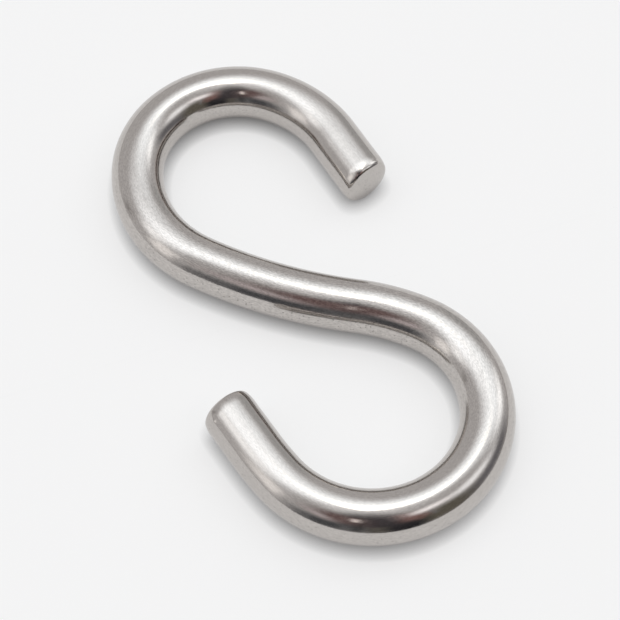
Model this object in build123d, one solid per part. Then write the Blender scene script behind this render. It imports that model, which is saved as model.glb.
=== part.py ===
from build123d import *
import os

# An s hook: one round wire bent flat into two open hooks, lying on its side.
# Lengths are in millimetres and angles in degrees.
# The load line, from the lower seat to the upper seat, runs along Y.

# Round wire
wire_diameter = 6.0

# Direction of the stem at its middle, where the wire goes from one bend into the other
stem_heading = -34.3

# Upper hook, from the middle of the stem out to its tip
upper_stem_radius = 55.65
upper_stem_turn = 18.9
upper_shoulder_radius = 14.05
upper_shoulder_turn = 64.4
upper_bend_radius = 11.35
upper_bend_turn = 106.2
upper_curl_radius = 14.0
upper_curl_turn = 40.8
upper_tip_length = 7.8

# Lower hook, from the middle of the stem out to its tip
lower_stem_radius = 25.05
lower_stem_turn = 16.9
lower_shoulder_radius = 12.1
lower_shoulder_turn = 80.6
lower_bend_radius = 12.55
lower_bend_turn = 123.6
lower_curl_radius = 38.75
lower_curl_turn = 6.4
lower_tip_length = 6.1

# Ends of the wire: sheared a little off square, then rounded by tumbling
upper_cut_angle = 7.0
lower_cut_angle = 4.0
tip_round_radius = 1.2

# Sizes that follow from the ones above
wire_radius = wire_diameter / 2
half_turn = 180.0
round_limit_share = 0.9
tip_round = min(tip_round_radius, round_limit_share * wire_radius)


def hook_half(heading, bends, tip_length):
    """One hook from the middle of the stem: tangent arcs, then the straight tip."""
    start = Vector(0, 0)
    direction = Vector(1, 0).rotate(Axis.Z, heading)
    runs = []
    for radius, turn in bends:
        arc = JernArc(start, direction, radius, -turn)
        runs.append(arc)
        start = arc @ 1
        direction = arc % 1
    end = Plane(origin=start + direction * tip_length, z_dir=direction)
    # The wire runs on past the end, so that the shear has something to cut
    runs.append(Line(start, end.origin + direction * wire_radius))
    return runs, end


def shear(solid, end, cut_angle):
    """Cut the wire off at its end, turned about the vertical."""
    blade = Cylinder(wire_diameter, wire_diameter, align=(Align.CENTER, Align.CENTER, Align.MIN))
    turned = Plane(origin=end.origin, z_dir=end.z_dir.rotate(Axis.Z, cut_angle))
    return solid - turned * blade


def round_rim(solid, end):
    """Round the rim of a sheared end."""
    faces = solid.faces().filter_by(GeomType.PLANE)
    return fillet(faces.sort_by_distance(end.origin)[0].edges(), tip_round)


upper_bends = [
    (upper_stem_radius, upper_stem_turn),
    (upper_shoulder_radius, upper_shoulder_turn),
    (upper_bend_radius, upper_bend_turn),
    (upper_curl_radius, upper_curl_turn),
]
lower_bends = [
    (lower_stem_radius, lower_stem_turn),
    (lower_shoulder_radius, lower_shoulder_turn),
    (lower_bend_radius, lower_bend_turn),
    (lower_curl_radius, lower_curl_turn),
]

upper_runs, upper_end = hook_half(stem_heading + half_turn, upper_bends, upper_tip_length)
lower_runs, lower_end = hook_half(stem_heading, lower_bends, lower_tip_length)
middle_line = Wire([*upper_runs, *lower_runs])
section = Plane(origin=upper_runs[-1] @ 1, z_dir=upper_runs[-1] % 1) * Circle(wire_radius)

rod = sweep(section, path=middle_line)
for end, cut_angle in ((upper_end, upper_cut_angle), (lower_end, lower_cut_angle)):
    rod = shear(rod, end, cut_angle)
for end in (upper_end, lower_end):
    rod = round_rim(rod, end)

# The origin is under the middle of the hook, on the surface it lies on
box = rod.bounding_box()
s_hook = Pos(-box.center().X, -box.center().Y, -box.min.Z) * rod

os.makedirs("parts", exist_ok=True)
export_step(s_hook, "parts/s_hook.step")
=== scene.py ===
"""A bright steel s hook lying flat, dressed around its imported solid, on a pale studio floor."""

import math

import bpy
from bpy.props import FloatProperty, FloatVectorProperty, IntProperty, PointerProperty
from mathutils import Matrix, Vector, noise


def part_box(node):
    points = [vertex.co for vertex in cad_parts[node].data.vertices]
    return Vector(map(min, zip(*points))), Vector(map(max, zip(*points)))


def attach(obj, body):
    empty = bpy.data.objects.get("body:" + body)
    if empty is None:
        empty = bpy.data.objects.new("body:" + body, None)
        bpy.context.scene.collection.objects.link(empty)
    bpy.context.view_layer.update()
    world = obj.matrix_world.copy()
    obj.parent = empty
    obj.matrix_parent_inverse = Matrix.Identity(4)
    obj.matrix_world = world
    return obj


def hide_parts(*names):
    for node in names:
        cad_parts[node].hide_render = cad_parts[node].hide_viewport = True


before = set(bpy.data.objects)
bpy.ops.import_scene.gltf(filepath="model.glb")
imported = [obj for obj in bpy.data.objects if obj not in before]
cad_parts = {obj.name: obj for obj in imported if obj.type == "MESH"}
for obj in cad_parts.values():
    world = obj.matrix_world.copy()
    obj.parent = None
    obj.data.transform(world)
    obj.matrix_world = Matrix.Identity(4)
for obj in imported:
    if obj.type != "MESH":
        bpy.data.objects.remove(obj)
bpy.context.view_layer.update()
HOOK_LOW, HOOK_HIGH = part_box("s_hook")

bl_info = {
    "name": "S Hook",
    "version": (1, 0, 0),
    "blender": (4, 5, 0),
    "location": "View3D > Sidebar > S Hook",
    "description": "A bent wire s hook in bright steel, with its studio",
    "category": "Object",
}

MM = 0.001
FULL_TURN = 2 * math.pi
FRAME_PIXELS = 620


def length(name, description, millimetres):
    """A size of the hook, in the scene's metres."""
    return FloatProperty(
        name=name, description=description, default=millimetres * MM, min=0.0, unit="LENGTH", precision=5
    )


def angle(name, description, degrees):
    """An angle of the hook."""
    return FloatProperty(name=name, description=description, default=math.radians(degrees), subtype="ANGLE")


def share(name, description, default):
    """A plain number, such as a roughness."""
    return FloatProperty(name=name, description=description, default=default, min=0.0, precision=4)


def colour(name, description, default):
    """A linear colour."""
    return FloatVectorProperty(
        name=name, description=description, default=default, size=3, min=0.0, max=1.0, subtype="COLOR"
    )


class HookSizes(bpy.types.PropertyGroup):
    """The wire and its bends, each hook taken from the middle of the stem out to its tip"""

    wire_diameter: length("Wire", "Diameter of the round wire", 6.0)
    stem_heading: angle("Stem heading", "Direction of the stem at its middle", -34.3)
    upper_stem_radius: length("Upper stem", "Radius of the upper half of the stem", 55.65)
    upper_stem_turn: angle("Upper stem turn", "How far the upper half of the stem turns", 18.9)
    upper_shoulder_radius: length("Upper shoulder", "Radius where the stem goes into the upper bend", 14.05)
    upper_shoulder_turn: angle("Upper shoulder turn", "How far the upper shoulder turns", 64.4)
    upper_bend_radius: length("Upper bend", "Radius of the upper bend", 11.35)
    upper_bend_turn: angle("Upper bend turn", "How far the upper bend turns", 106.2)
    upper_curl_radius: length("Upper curl", "Radius of the last of the upper bend", 14.0)
    upper_curl_turn: angle("Upper curl turn", "How far the last of the upper bend turns", 40.8)
    upper_tip_length: length("Upper tip", "Straight end of the upper hook", 7.8)
    lower_stem_radius: length("Lower stem", "Radius of the lower half of the stem", 25.05)
    lower_stem_turn: angle("Lower stem turn", "How far the lower half of the stem turns", 16.9)
    lower_shoulder_radius: length("Lower shoulder", "Radius where the stem goes into the lower bend", 12.1)
    lower_shoulder_turn: angle("Lower shoulder turn", "How far the lower shoulder turns", 80.6)
    lower_bend_radius: length("Lower bend", "Radius of the lower bend", 12.55)
    lower_bend_turn: angle("Lower bend turn", "How far the lower bend turns", 123.6)
    lower_curl_radius: length("Lower curl", "Radius of the last of the lower bend", 38.75)
    lower_curl_turn: angle("Lower curl turn", "How far the last of the lower bend turns", 6.4)
    lower_tip_length: length("Lower tip", "Straight end of the lower hook", 6.1)
    upper_cut_angle: angle("Upper cut", "How far off square the upper end is sheared", 7.0)
    lower_cut_angle: angle("Lower cut", "How far off square the lower end is sheared", 4.0)
    face_radius: length("Face", "Crown of the sheared face at each end", 6.0)
    face_turn: angle("Face turn", "How far the crown of each face turns", 15.0)
    rim_radius: length("Rim", "Tight rounding of the rim of each end", 0.6)
    crown_radius: length("Crown", "Slow rounding of the wire just before its rim", 4.0)
    crown_turn: angle("Crown turn", "How far the wire turns in before its rim", 15.0)
    ring_count: IntProperty(name="Points round", description="Points round the wire", default=96, min=12)
    ring_step: length("Ring step", "Distance between rings along the wire", 0.2)


class SteelFinish(bpy.types.PropertyGroup):
    """The drawn, bent and tumbled steel"""

    steel: colour("Steel", "Colour of the bright steel", (0.53, 0.5, 0.475))
    roughness: share("Roughness", "Roughness of the bright steel", 0.115)
    mottle: share("Mottle", "How far the fine mottle darkens and lightens the steel", 0.22)
    worn_middle: length("Worn middle", "Middle of the pitted stem, along the wire from the upper tip", 68.0)
    worn_reach: length("Worn reach", "How far the pitted stem reaches either way", 36.0)
    grain_depth: length("Grain", "Depth of the fine grain", 0.003)
    wave_depth: length("Waves", "Depth of the slow waves that drawing and bending leave", 0.006)


class StudioSettings(bpy.types.PropertyGroup):
    """Floor and light"""

    floor: colour("Floor", "Colour of the floor", (0.9, 0.9, 0.9))
    floor_glow: share("Floor glow", "Share of the floor's own pale look in what the camera sees", 0.6)
    floor_mirrored: share(
        "Floor mirrored", "Share of the floor's own pale look in what the steel shows", 0.46
    )
    floor_white: share("Floor white", "Level of the floor's own pale look", 1.0)
    floor_contact: length("Floor contact", "How far from the hook the floor's own pale look is shaded", 1.85)
    floor_radius: length("Floor radius", "Radius of the floor", 6000.0)
    light: share("Light", "Strength of all the studio light", 1.06)


# Wire: how many steps the mesh takes over each stretch of an end.
FLAT_STEPS = 4
FACE_STEPS = 9
RIM_STEPS = 12
CROWN_STEPS = 12
TIP_STEPS = 34


def ahead_of(heading):
    """One step along a heading."""
    return Vector((math.cos(heading), math.sin(heading)))


def left_of(heading):
    """One step to the left of a heading."""
    return Vector((-math.sin(heading), math.cos(heading)))


def walk(heading, runs):
    """The line from the origin along (length, curvature) runs, by the way gone, and its length."""
    legs = []
    point = Vector((0, 0))
    way = 0.0
    for run, curvature in runs:
        legs.append((way, curvature, point.copy(), heading))
        if curvature:
            radius = 1 / curvature
            middle = point + radius * left_of(heading)
            heading += run * curvature
            point = middle - radius * left_of(heading)
        else:
            point = point + run * ahead_of(heading)
        way += run

    def at(distance):
        """Point and heading at a distance from the origin."""
        reached = next(leg for leg in reversed(legs) if leg[0] <= distance or leg is legs[0])
        begin, curvature, origin, first = reached
        gone = distance - begin
        if not curvature:
            return origin + gone * ahead_of(first), first
        radius = 1 / curvature
        turned = first + gone * curvature
        middle = origin + radius * left_of(first)
        return middle - radius * left_of(turned), turned

    return at, way


def hook_runs(bends, tip_length):
    """Clockwise arcs, then the straight tip, as (length, curvature)."""
    return [(radius * turn, -1 / radius) for radius, turn in bends] + [(tip_length, 0.0)]


def middle_line(sizes):
    """The middle line from the upper tip to the lower tip, by the way gone, and its length."""
    upper, upper_way = walk(sizes.stem_heading + math.pi, hook_runs([
        (sizes.upper_stem_radius, sizes.upper_stem_turn),
        (sizes.upper_shoulder_radius, sizes.upper_shoulder_turn),
        (sizes.upper_bend_radius, sizes.upper_bend_turn),
        (sizes.upper_curl_radius, sizes.upper_curl_turn),
    ], sizes.upper_tip_length))
    lower, lower_way = walk(sizes.stem_heading, hook_runs([
        (sizes.lower_stem_radius, sizes.lower_stem_turn),
        (sizes.lower_shoulder_radius, sizes.lower_shoulder_turn),
        (sizes.lower_bend_radius, sizes.lower_bend_turn),
        (sizes.lower_curl_radius, sizes.lower_curl_turn),
    ], sizes.lower_tip_length))

    def line(way):
        """Point and heading of travel, at a way from the upper tip."""
        if way < upper_way:
            point, heading = upper(upper_way - way)
            return point, heading + math.pi
        return lower(way - upper_way)

    return line, upper_way + lower_way


def tip_profile(radius, sizes):
    """How a worn end falls from the middle of its face to the wire's side, as (out, drop) pairs."""
    face_edge = math.pi / 2 - sizes.face_turn
    bends = [
        (sizes.face_radius, math.pi / 2, face_edge, FACE_STEPS),
        (sizes.rim_radius, face_edge, sizes.crown_turn, RIM_STEPS),
        (sizes.crown_radius, sizes.crown_turn, 0.0, CROWN_STEPS),
    ]
    out = radius - sum(bend * (math.cos(end) - math.cos(start)) for bend, start, end, _ in bends)
    drop = 0.0
    pairs = [(out * part / FLAT_STEPS, drop) for part in range(1, FLAT_STEPS + 1)]
    for bend, start, end, steps in bends:
        for k in range(1, steps + 1):
            turn = start + (end - start) * k / steps
            pairs.append((
                out + bend * (math.cos(turn) - math.cos(start)),
                drop + bend * (math.sin(start) - math.sin(turn)),
            ))
        out, drop = pairs[-1]
    return pairs


def wire_rings(sizes):
    """Rings from the upper tip to the lower tip, and the wire's length.

    Each point of a ring comes with its place in the straight wire: along, left and up.
    """
    radius = sizes.wire_diameter / 2
    line, total = middle_line(sizes)
    profile = tip_profile(radius, sizes)
    crown = profile[-1][1]
    round_angles = [FULL_TURN * k / sizes.ring_count for k in range(sizes.ring_count)]
    rings = []

    def add(way, out, ahead):
        """A ring at a way along the wire, where ahead says how much further on each point is."""
        point, heading = line(way)
        core = Vector((point.x, point.y, radius))
        along, left, up = ahead_of(heading).to_3d(), left_of(heading).to_3d(), Vector((0, 0, 1))
        ring = []
        for a in round_angles:
            side, height, on = out * math.cos(a), out * math.sin(a), ahead(a)
            ring.append((core + side * left + height * up + on * along, Vector((way + on, side, height))))
        rings.append(ring)

    def add_to_end(way, sign, lean, out, drop):
        """A ring on a worn end, dropped back from the cut, where sign says which way along is out."""
        add(way, out, lambda a: -lean * (out * math.cos(a)) - sign * drop)

    def add_to_tip(way, sign, lean, tip_length, near, far):
        """A ring on a straight tip, near its end and far from it by these shares."""
        add(way, radius, lambda a: (
            (-sign * crown - radius * lean * math.cos(a)) * near - sign * tip_length * far
        ))

    upper_lean, lower_lean = math.tan(sizes.upper_cut_angle), math.tan(sizes.lower_cut_angle)
    for out, drop in profile[:-1]:
        add_to_end(0.0, -1, upper_lean, out, drop)
    for k in range(TIP_STEPS):
        add_to_tip(0.0, -1, upper_lean, sizes.upper_tip_length, 1 - k / TIP_STEPS, k / TIP_STEPS)
    begin, end = sizes.upper_tip_length, total - sizes.lower_tip_length
    steps = round((end - begin) / sizes.ring_step)
    for k in range(steps):
        add(begin + (end - begin) * k / steps, radius, lambda a: 0.0)
    for k in range(TIP_STEPS + 1):
        add_to_tip(total, 1, lower_lean, sizes.lower_tip_length, k / TIP_STEPS, 1 - k / TIP_STEPS)
    for out, drop in reversed(profile[:-1]):
        add_to_end(total, 1, lower_lean, out, drop)
    return rings, total


# Knocks on the wire.
# Each row: millimetres along from the upper tip, degrees round from the left side up, half length,
# half width and depth in millimetres.
KNOCKS = [
    ("upper_rim_nick", 0.9, 124.0, 0.24, 0.8, 0.06),
    ("upper_rim_dent", 0.75, 66.0, 0.4, 0.45, 0.05),
    ("lower_rim_dent", 133.1, 38.0, 0.4, 0.32, 0.06),
    ("stem_scratch", 54.6, 62.0, 0.5, 0.25, 0.012),
    ("shoulder_dent", 45.2, 40.0, 1.6, 0.3, 0.012),
]


def knock_depth(place, radius):
    """How deep the wire is knocked in at a place in the straight wire, in millimetres."""
    around = math.atan2(place.z, place.y)
    deep = 0.0
    for _, along, turn, half_length, half_width, depth in KNOCKS:
        across = math.remainder(around - math.radians(turn), FULL_TURN) * radius
        reach = ((place.x - along) / half_length) ** 2 + (across / half_width) ** 2
        deep += depth * max(0.0, 1 - reach) ** 2
    return deep


# Waves of the drawn wire: how quick they are along it and across it, to the millimetre.
SLOW_WAVE = (0.22, 0.45)
QUICK_WAVE = (0.7, 0.8)
QUICK_WAVE_START = 40
QUICK_WAVE_SHARE = 0.35


def surface_wave(place):
    """Waves of the drawn wire at a place in the straight wire in millimetres, from about -1 to 1."""
    along, across = SLOW_WAVE
    slow = noise.noise(Vector((place.x * along, place.y * across, place.z * across)))
    along, across = QUICK_WAVE
    quick = noise.noise(Vector((place.x * along + QUICK_WAVE_START, place.y * across, place.z * across)))
    return slow + QUICK_WAVE_SHARE * quick


def wear_surface(mesh, places, sizes, finish):
    """Move the points of the wire out and in by its waves and knocks."""
    radius = sizes.wire_diameter / 2 / MM
    normals = [v.normal.copy() for v in mesh.vertices]
    for vertex, normal, place in zip(mesh.vertices, normals, places):
        wave = finish.wave_depth * surface_wave(place / MM)
        vertex.co += normal * (wave - MM * knock_depth(place / MM, radius))


def unwrap_wire(mesh, places, total):
    """Lay the wire's surface out flat, along and round."""
    unwrap = mesh.uv_layers.new(name="along_and_round")
    coordinates = []
    for polygon in mesh.polygons:
        turns = [math.atan2(places[i].z, places[i].y) / FULL_TURN % 1.0 for i in polygon.vertices]
        wrapped = max(turns) - min(turns) > 0.5
        for i, turn in zip(polygon.vertices, turns):
            coordinates += [places[i].x / total, turn + 1.0 if wrapped and turn < 0.5 else turn]
    unwrap.data.foreach_set("uv", coordinates)


def wire_mesh(sizes, finish):
    """The whole bent wire as one closed mesh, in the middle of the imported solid's box."""
    rings, total = wire_rings(sizes)
    count = sizes.ring_count
    points = [point for ring in rings for point, _ in ring]
    places = [place for ring in rings for _, place in ring]
    for ring in (rings[0], rings[-1]):
        points.append(sum((point for point, _ in ring), Vector()) / count)
        places.append(sum((place for _, place in ring), Vector()) / count)
    first_core, last_core = len(points) - 2, len(points) - 1
    low = Vector(min(p[i] for p in points) for i in range(3))
    high = Vector(max(p[i] for p in points) for i in range(3))
    shift = (HOOK_LOW + HOOK_HIGH) / 2 - (low + high) / 2
    points = [p + shift for p in points]
    faces = []
    for r in range(len(rings) - 1):
        for k in range(count):
            n = (k + 1) % count
            faces.append((r * count + k, (r + 1) * count + k, (r + 1) * count + n, r * count + n))
    last = (len(rings) - 1) * count
    for k in range(count):
        n = (k + 1) % count
        faces.append((first_core, k, n))
        faces.append((last_core, last + n, last + k))
    mesh = bpy.data.meshes.new("s_hook_wire")
    mesh.from_pydata(points, [], faces)
    straight_wire = mesh.attributes.new("straight_wire", "FLOAT_VECTOR", "POINT")
    straight_wire.data.foreach_set("vector", [c / MM for place in places for c in place])
    mesh.update()
    wear_surface(mesh, places, sizes, finish)
    mesh.shade_smooth()
    unwrap_wire(mesh, places, total)
    mesh.validate()
    return mesh


class Nodes:
    """Short calls to put nodes into one tree."""

    def __init__(self, tree):
        self.tree = tree
        tree.nodes.clear()

    def add(self, kind, *inputs, **settings):
        """A node of a kind, with its inputs in order."""
        node = self.tree.nodes.new(kind)
        for name, value in settings.items():
            setattr(node, name, value)
        for index, value in enumerate(inputs):
            self.set(node.inputs[index], value)
        return node

    def set(self, socket, value):
        """Link a socket to another, or give it a plain value."""
        if isinstance(value, bpy.types.NodeSocket):
            self.tree.links.new(value, socket)
        else:
            socket.default_value = value

    def math(self, operation, *values):
        """Arithmetic on values or sockets."""
        return self.add("ShaderNodeMath", *values, operation=operation).outputs[0]

    def step(self, value, start, end, low=0.0, high=1.0):
        """A smooth change from low at start to high at end."""
        return self.add(
            "ShaderNodeMapRange", value, start, end, low, high, interpolation_type="SMOOTHSTEP"
        ).outputs[0]

    def noise(self, vector, stretch, scale, detail, roughness):
        """Noise that is stretched along the first axis."""
        drawn = self.add("ShaderNodeVectorMath", vector, (stretch, 1.0, 1.0), operation="MULTIPLY")
        node = self.add("ShaderNodeTexNoise")
        self.set(node.inputs["Vector"], drawn.outputs[0])
        node.inputs["Scale"].default_value = scale
        node.inputs["Detail"].default_value = detail
        node.inputs["Roughness"].default_value = roughness
        return node.outputs["Fac"]

    def blend(self, factor, first, second):
        """A colour between two."""
        node = self.add("ShaderNodeMix", data_type="RGBA")
        self.set(node.inputs["Factor"], factor)
        self.set(node.inputs["A"], first)
        self.set(node.inputs["B"], second)
        return node.outputs["Result"]


# Noises of the steel, in millimetres of the straight wire.
# Each row: stretch along the wire, scale, detail, roughness.
DRAWN_LINES = (0.08, 6.0, 3.0, 0.6)
FINE_GRAIN = (1.0, 4.5, 2.0, 0.6)
SLOW_PATCHES = (1.0, 0.8, 3.0, 0.6)
FINE_MOTTLE = (0.3, 8.5, 2.0, 0.7)
MOTTLE_RANGE = (0.2, 0.8)
LINES_IN_GRAIN = 0.7

# Wear: full over this share of its reach, and what is left of it beyond the reach.
FULL_WEAR = 0.4
LEAST_WEAR = 0.45

# Pits: cells to the millimetre, how the patches crowd them, the chance below which a cell has none,
# the largest and the soft edge in cells, and how strongly and how far the painted shade in a pit darkens the
# steel.
PIT_CELLS = 3.2
PIT_CROWDING = (0.7, 0.65)
PIT_CHANCE = 0.2
LARGEST_PIT = 0.38
PIT_EDGE = 0.12
PIT_PAINTED_SHADE_STRENGTH = 0.55
PIT_PAINTED_SHADE_LEVEL = 0.25

# Pits and their painted shade lie on the low side of the wire: millimetres above its middle where they thin
# out, and what is left.
PITS_THIN_OUT = (1.0, 2.2)
PITS_ABOVE = 0.12

# Roughness: how much the patches count beside the mottle, and from what to what they turn it.
PATCHES_IN_ROUGHNESS = 0.5
ROUGHNESS_RANGE = (0.5, 1.0)
ROUGHNESS_SHARES = (0.85, 1.3)


def scaled(tint, level):
    """A colour made lighter or darker, with full cover."""
    return (*(c * level for c in tint), 1.0)


def steel_pits_and_painted_shade(nodes, place, patches):
    """Small round pits, larger and closer in some patches, for the relief and for painted shade: 1 in a pit
    and 0 beside it.
    """
    cells = nodes.add("ShaderNodeTexVoronoi")
    nodes.set(cells.inputs["Vector"], place)
    cells.inputs["Scale"].default_value = PIT_CELLS
    chance = nodes.add("ShaderNodeSeparateColor", cells.outputs["Color"]).outputs[0]
    chance = nodes.math("MULTIPLY", chance, nodes.math("MULTIPLY_ADD", patches, *PIT_CROWDING))
    size = nodes.step(chance, PIT_CHANCE, 1.0, 0.0, LARGEST_PIT)
    return nodes.step(nodes.math("SUBTRACT", cells.outputs["Distance"], size), -PIT_EDGE, 0.0, 1.0, 0.0)


def bright_steel(finish):
    """Bright tumbled wire: a fine grain, small pits with painted shade in them, and faint lines along it."""
    material = bpy.data.materials.new("bright_steel")
    material.use_nodes = True
    nodes = Nodes(material.node_tree)
    place = nodes.add("ShaderNodeAttribute", attribute_name="straight_wire").outputs["Vector"]
    along, _, height = nodes.add("ShaderNodeSeparateXYZ", place).outputs
    lines = nodes.noise(place, *DRAWN_LINES)
    grain = nodes.noise(place, *FINE_GRAIN)
    patches = nodes.noise(place, *SLOW_PATCHES)
    mottle = nodes.noise(place, *FINE_MOTTLE)

    from_stem = nodes.math("ABSOLUTE", nodes.math("SUBTRACT", along, finish.worn_middle / MM))
    worn = nodes.step(from_stem, FULL_WEAR * finish.worn_reach / MM, finish.worn_reach / MM, 1.0, LEAST_WEAR)
    low_side = nodes.step(height, *PITS_THIN_OUT, 1.0, PITS_ABOVE)
    pits = nodes.math("MULTIPLY", steel_pits_and_painted_shade(nodes, place, patches), nodes.math("MULTIPLY", worn, low_side))

    shade = nodes.math("MULTIPLY_ADD", nodes.math("SUBTRACT", mottle, 0.5), worn, 0.5)
    tint = nodes.blend(
        nodes.step(shade, *MOTTLE_RANGE),
        scaled(finish.steel, 1 - finish.mottle),
        scaled(finish.steel, 1 + finish.mottle),
    )
    # Painted shade: the pits darken the steel's colour, besides their dip in the relief.
    tint = nodes.blend(nodes.math("MULTIPLY", pits, PIT_PAINTED_SHADE_STRENGTH), tint, scaled(finish.steel, PIT_PAINTED_SHADE_LEVEL))
    rough = nodes.step(
        nodes.math("MULTIPLY_ADD", patches, PATCHES_IN_ROUGHNESS, mottle),
        *ROUGHNESS_RANGE,
        *(finish.roughness * part for part in ROUGHNESS_SHARES),
    )
    relief = nodes.math("MULTIPLY_ADD", lines, LINES_IN_GRAIN, grain)
    relief = nodes.math("MULTIPLY", nodes.math("SUBTRACT", relief, pits), worn)
    bump = nodes.add("ShaderNodeBump")
    bump.inputs["Strength"].default_value = 1.0
    bump.inputs["Distance"].default_value = finish.grain_depth
    nodes.set(bump.inputs["Height"], relief)

    shader = nodes.add("ShaderNodeBsdfPrincipled")
    shader.inputs["Metallic"].default_value = 1.0
    nodes.set(shader.inputs["Base Color"], tint)
    nodes.set(shader.inputs["Roughness"], rough)
    nodes.set(shader.inputs["Normal"], bump.outputs[0])
    output = nodes.add("ShaderNodeOutputMaterial")
    nodes.set(output.inputs["Surface"], shader.outputs[0])
    return material


# Studio: what stands round the hook, as seen from it.
# Each row: bearing from the far side (right is plus), height, half width, half height, soft edge across,
# soft edge up, slant, light. Angles are in degrees, and later rows cover earlier ones.
STUDIO_BEARING = 25.53
STUDIO_WALL = (0.582, 0.573, 0.574)
STUDIO = [
    ("ceiling", -0.6, 90.8, 180.0, 14.0, 10.5, 28.2, 0.02, (1.04, 1.05, 1.07)),
    ("top_glow", -20.1, 73.9, 77.0, 16.0, 52.5, 33.7, 0.16, (1.78, 1.86, 1.93)),
    ("right_glow", 25.6, 58.5, 35.9, 13.0, 53.8, 54.0, -0.38, (1.76, 1.86, 1.94)),
    ("left_side", -111.0, 26.0, 8.5, 14.6, 9.0, 20.0, 0.14, (1.18, 1.16, 1.15)),
    ("left_edge", -89.9, 44.8, 9.3, 10.3, 15.3, 24.2, 0.51, (1.56, 1.59, 1.62)),
    ("left_line", -79.7, 13.9, 3.7, 9.0, 5.2, 11.8, -0.02, (0.381, 0.369, 0.364)),
    ("right_line", 28.4, 14.2, 8.0, 14.6, 7.7, 23.7, 0.04, (0.488, 0.491, 0.491)),
    ("dark_right", 100.8, 13.8, 30.2, 13.8, 23.4, 23.0, -0.09, (0.187, 0.184, 0.198)),
    ("olive_card", 133.9, 20.6, 21.1, 20.9, 23.1, 20.9, 0.09, (0.151, 0.14, 0.116)),
    ("dark_near", 163.5, 21.5, 18.7, 23.0, 12.9, 11.7, -0.01, (0.02, 0.02, 0.024)),
    ("dark_upper", 178.9, 48.0, 26.1, 27.2, 34.3, 42.3, 0.05, (0.072, 0.066, 0.072)),
    ("grey_post", 175.7, 11.7, 5.7, 13.2, 10.9, 9.2, 0.01, (0.137, 0.129, 0.115)),
    ("red_card", 148.6, 47.6, 9.1, 15.9, 14.8, 16.8, 0.05, (0.306, 0.19, 0.178)),
    ("left_post", -171.8, 17.3, 3.9, 17.3, 10.1, 8.6, 0.00, (0.036, 0.036, 0.036)),
    ("maroon_left", -155.8, 43.9, 16.6, 17.5, 38.1, 17.4, 0.16, (0.18, 0.118, 0.115)),
    ("dark_left", -151.3, 12.3, 20.6, 15.6, 30.5, 20.8, -0.15, (0.09, 0.092, 0.1)),
    ("pale_left", -145.1, 36.9, 9.6, 5.6, 19.1, 14.1, 0.30, (0.641, 0.578, 0.592)),
    ("dark_foot", 57.8, 1.6, 34.9, 1.7, 10.5, 3.6, 0.08, (0.329, 0.318, 0.311)),
    ("blue_strip", 137.1, 35.2, 0.6, 10.0, 2.0, 6.1, 0.00, (0.348, 0.387, 0.435)),
    ("light_line", -142.1, 10.5, -1.3, 8.9, 8.9, 5.6, 0.00, (0.449, 0.451, 0.456)),
    ("black_mid", -174.6, 24.9, 0.5, 15.0, 4.1, 6.6, 0.00, (0.03, 0.03, 0.03)),
    ("red_edge", 146.5, 32.1, 1.8, 7.5, 4.9, 6.3, 0.00, (0.216, 0.131, 0.116)),
    ("white_spot", -170.3, 48.0, 2.4, 6.0, 4.5, 6.5, 0.0, (1.45, 1.32, 1.28)),
    ("window_left", 101.5, 42.7, 14.6, 8.5, 24.5, 16.7, 0.23, (1.39, 1.42, 1.46)),
    ("window_right", 131.5, 54.1, 14.4, 5.8, 20.9, 11.4, 0.02, (1.5, 1.47, 1.5)),
    ("side_lamp", 54.5, 35.5, 8.3, 8.5, 16.3, 22.0, 0.31, (1.84, 1.89, 1.93)),
    ("top_lamp", -0.5, 89.0, 40.8, 15.4, 3.0, 23.1, -0.19, (3.7, 3.6, 3.3)),
]


def studio_world(settings):
    """A far wall, lamps and a dark room round the hook, so that bright metal has something to show."""
    world = bpy.data.worlds.new("studio")
    bpy.context.scene.world = world
    world.use_nodes = True
    nodes = Nodes(world.node_tree)
    seen = nodes.add("ShaderNodeTexCoord").outputs["Generated"]
    turned = nodes.add("ShaderNodeVectorRotate", rotation_type="Z_AXIS")
    nodes.set(turned.inputs["Vector"], seen)
    turned.inputs["Angle"].default_value = math.radians(STUDIO_BEARING)
    parts = nodes.add("ShaderNodeSeparateXYZ", turned.outputs[0])
    bearing = nodes.math("ARCTAN2", parts.outputs[0], parts.outputs[1])
    height = nodes.math("ARCSINE", parts.outputs[2])
    light = (*STUDIO_WALL, 1.0)
    for _, side, up, half_side, half_up, soft_side, soft_up, slant, shade in STUDIO:
        side, up, half_side, half_up, soft_side, soft_up = map(
            math.radians, (side, up, half_side, half_up, soft_side, soft_up)
        )
        across = nodes.math("WRAP", nodes.math("SUBTRACT", bearing, side), math.pi, -math.pi)
        over = nodes.math("SUBTRACT", height, up)
        if slant:
            over = nodes.math("SUBTRACT", over, nodes.math("MULTIPLY", across, slant))
        over = nodes.math("ABSOLUTE", over)
        inside = nodes.step(over, half_up - soft_up / 2, half_up + soft_up / 2, 1.0, 0.0)
        if half_side < math.pi:
            across = nodes.math("ABSOLUTE", across)
            beside = nodes.step(across, half_side - soft_side / 2, half_side + soft_side / 2, 1.0, 0.0)
            inside = nodes.math("MULTIPLY", inside, beside)
        light = nodes.blend(inside, light, (*shade, 1.0))
    back = nodes.add("ShaderNodeBackground")
    nodes.set(back.inputs["Color"], light)
    back.inputs["Strength"].default_value = settings.light
    output = nodes.add("ShaderNodeOutputWorld")
    nodes.set(output.inputs["Surface"], back.outputs[0])


# Floor: corners of its round edge, and how many rays feel for the hook close by.
FLOOR_CORNERS = 64
CONTACT_SAMPLES = 8


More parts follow.
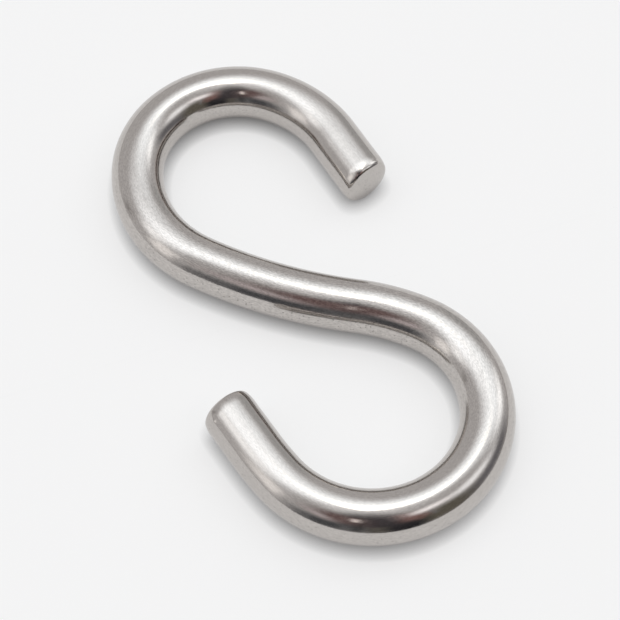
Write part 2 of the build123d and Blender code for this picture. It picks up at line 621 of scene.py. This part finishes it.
def pale_floor(settings):
    """A plain pale floor that the hook lies on, whose own even glow is darkened close to the hook by painted
    shadow.
    """
    material = bpy.data.materials.new("pale_floor")
    material.use_nodes = True
    nodes = Nodes(material.node_tree)
    shader = nodes.add("ShaderNodeBsdfDiffuse")
    shader.inputs["Color"].default_value = (*settings.floor, 1.0)
    # Painted shadow: the floor's own glow fades close to the hook, so that a contact shadow shows.
    contact = nodes.add("ShaderNodeAmbientOcclusion", samples=CONTACT_SAMPLES)
    contact.inputs["Distance"].default_value = settings.floor_contact
    glow = nodes.add("ShaderNodeEmission")
    nodes.set(glow.inputs["Strength"], nodes.math("MULTIPLY", contact.outputs["AO"], settings.floor_white))
    path = nodes.add("ShaderNodeLightPath").outputs
    mirrored = nodes.math("MAXIMUM", path["Is Glossy Ray"], path["Is Transmission Ray"])
    mirrored = nodes.math("MULTIPLY", mirrored, settings.floor_mirrored)
    seen = nodes.math("MULTIPLY", path["Is Camera Ray"], settings.floor_glow)
    part = nodes.math("MAXIMUM", seen, mirrored)
    mix = nodes.add("ShaderNodeMixShader", part, shader.outputs[0], glow.outputs[0])
    output = nodes.add("ShaderNodeOutputMaterial")
    nodes.set(output.inputs["Surface"], mix.outputs[0])
    turns = [FULL_TURN * k / FLOOR_CORNERS for k in range(FLOOR_CORNERS)]
    rim = [(settings.floor_radius * math.cos(a), settings.floor_radius * math.sin(a), 0) for a in turns]
    mesh = bpy.data.meshes.new("floor")
    mesh.from_pydata(rim, [], [tuple(range(FLOOR_CORNERS))])
    mesh.materials.append(material)
    floor = bpy.data.objects.new("floor", mesh)
    bpy.context.scene.collection.objects.link(floor)


# Camera: place in millimetres, the direction back from what it looks at, and the nearest and farthest metre.
CAMERA_PLACE = (-46.37820, -99.92762, 182.32104)
CAMERA_BACK = (-0.22196217, -0.46475479, 0.8571673)
CAMERA_FOCUS_PIXELS = 1900.0
CAMERA_CLIP = (0.01, 20.0)
SENSOR = 36.0


def studio_camera():
    """The camera, above the near side of the hook."""
    data = bpy.data.cameras.new("camera")
    data.sensor_width = SENSOR
    data.lens = CAMERA_FOCUS_PIXELS * SENSOR / FRAME_PIXELS
    data.clip_start, data.clip_end = CAMERA_CLIP
    camera = bpy.data.objects.new("camera", data)
    back = Vector(CAMERA_BACK).normalized()
    right = Vector((0, 0, 1)).cross(back).normalized()
    up = back.cross(right)
    turn = Matrix((right, up, back)).transposed().to_4x4()
    camera.matrix_world = Matrix.Translation(Vector(CAMERA_PLACE) * MM) @ turn
    bpy.context.scene.collection.objects.link(camera)
    bpy.context.scene.camera = camera


class SHOOK_OT_wire(bpy.types.Operator):
    """Make the bent wire of the hook in bright steel"""

    bl_idname = "s_hook.wire"
    bl_label = "Bent Wire"

    def execute(self, context):
        sizes, finish = context.scene.hook_sizes, context.scene.steel_finish
        wire = bpy.data.objects.new("bent_wire", wire_mesh(sizes, finish))
        wire.data.materials.append(bright_steel(finish))
        context.scene.collection.objects.link(wire)
        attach(wire, "root")
        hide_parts("s_hook")
        return {"FINISHED"}


class SHOOK_OT_stage(bpy.types.Operator):
    """Make the floor, the studio light and the camera"""

    bl_idname = "s_hook.stage"
    bl_label = "Stage"

    def execute(self, context):
        pale_floor(context.scene.studio)
        studio_world(context.scene.studio)
        studio_camera()
        context.scene.view_settings.view_transform = "Standard"
        return {"FINISHED"}


class SHOOK_PT_sidebar(bpy.types.Panel):
    """Sizes, finish and stage of the hook"""

    bl_idname = "SHOOK_PT_sidebar"
    bl_label = "S Hook"
    bl_space_type = "VIEW_3D"
    bl_region_type = "UI"
    bl_category = "S Hook"

    def draw(self, context):
        for group in ("hook_sizes", "steel_finish", "studio"):
            box = self.layout.box()
            settings = getattr(context.scene, group)
            for name in settings.__annotations__:
                box.prop(settings, name)
        self.layout.operator(SHOOK_OT_wire.bl_idname)
        self.layout.operator(SHOOK_OT_stage.bl_idname)


CLASSES = (HookSizes, SteelFinish, StudioSettings, SHOOK_OT_wire, SHOOK_OT_stage, SHOOK_PT_sidebar)


def register():
    for made in CLASSES:
        bpy.utils.register_class(made)
    bpy.types.Scene.hook_sizes = PointerProperty(type=HookSizes)
    bpy.types.Scene.steel_finish = PointerProperty(type=SteelFinish)
    bpy.types.Scene.studio = PointerProperty(type=StudioSettings)


def unregister():
    del bpy.types.Scene.studio
    del bpy.types.Scene.steel_finish
    del bpy.types.Scene.hook_sizes
    for made in reversed(CLASSES):
        bpy.utils.unregister_class(made)


def main():
    register()
    bpy.ops.s_hook.wire()
    bpy.ops.s_hook.stage()


if __name__ == "__main__":
    main()
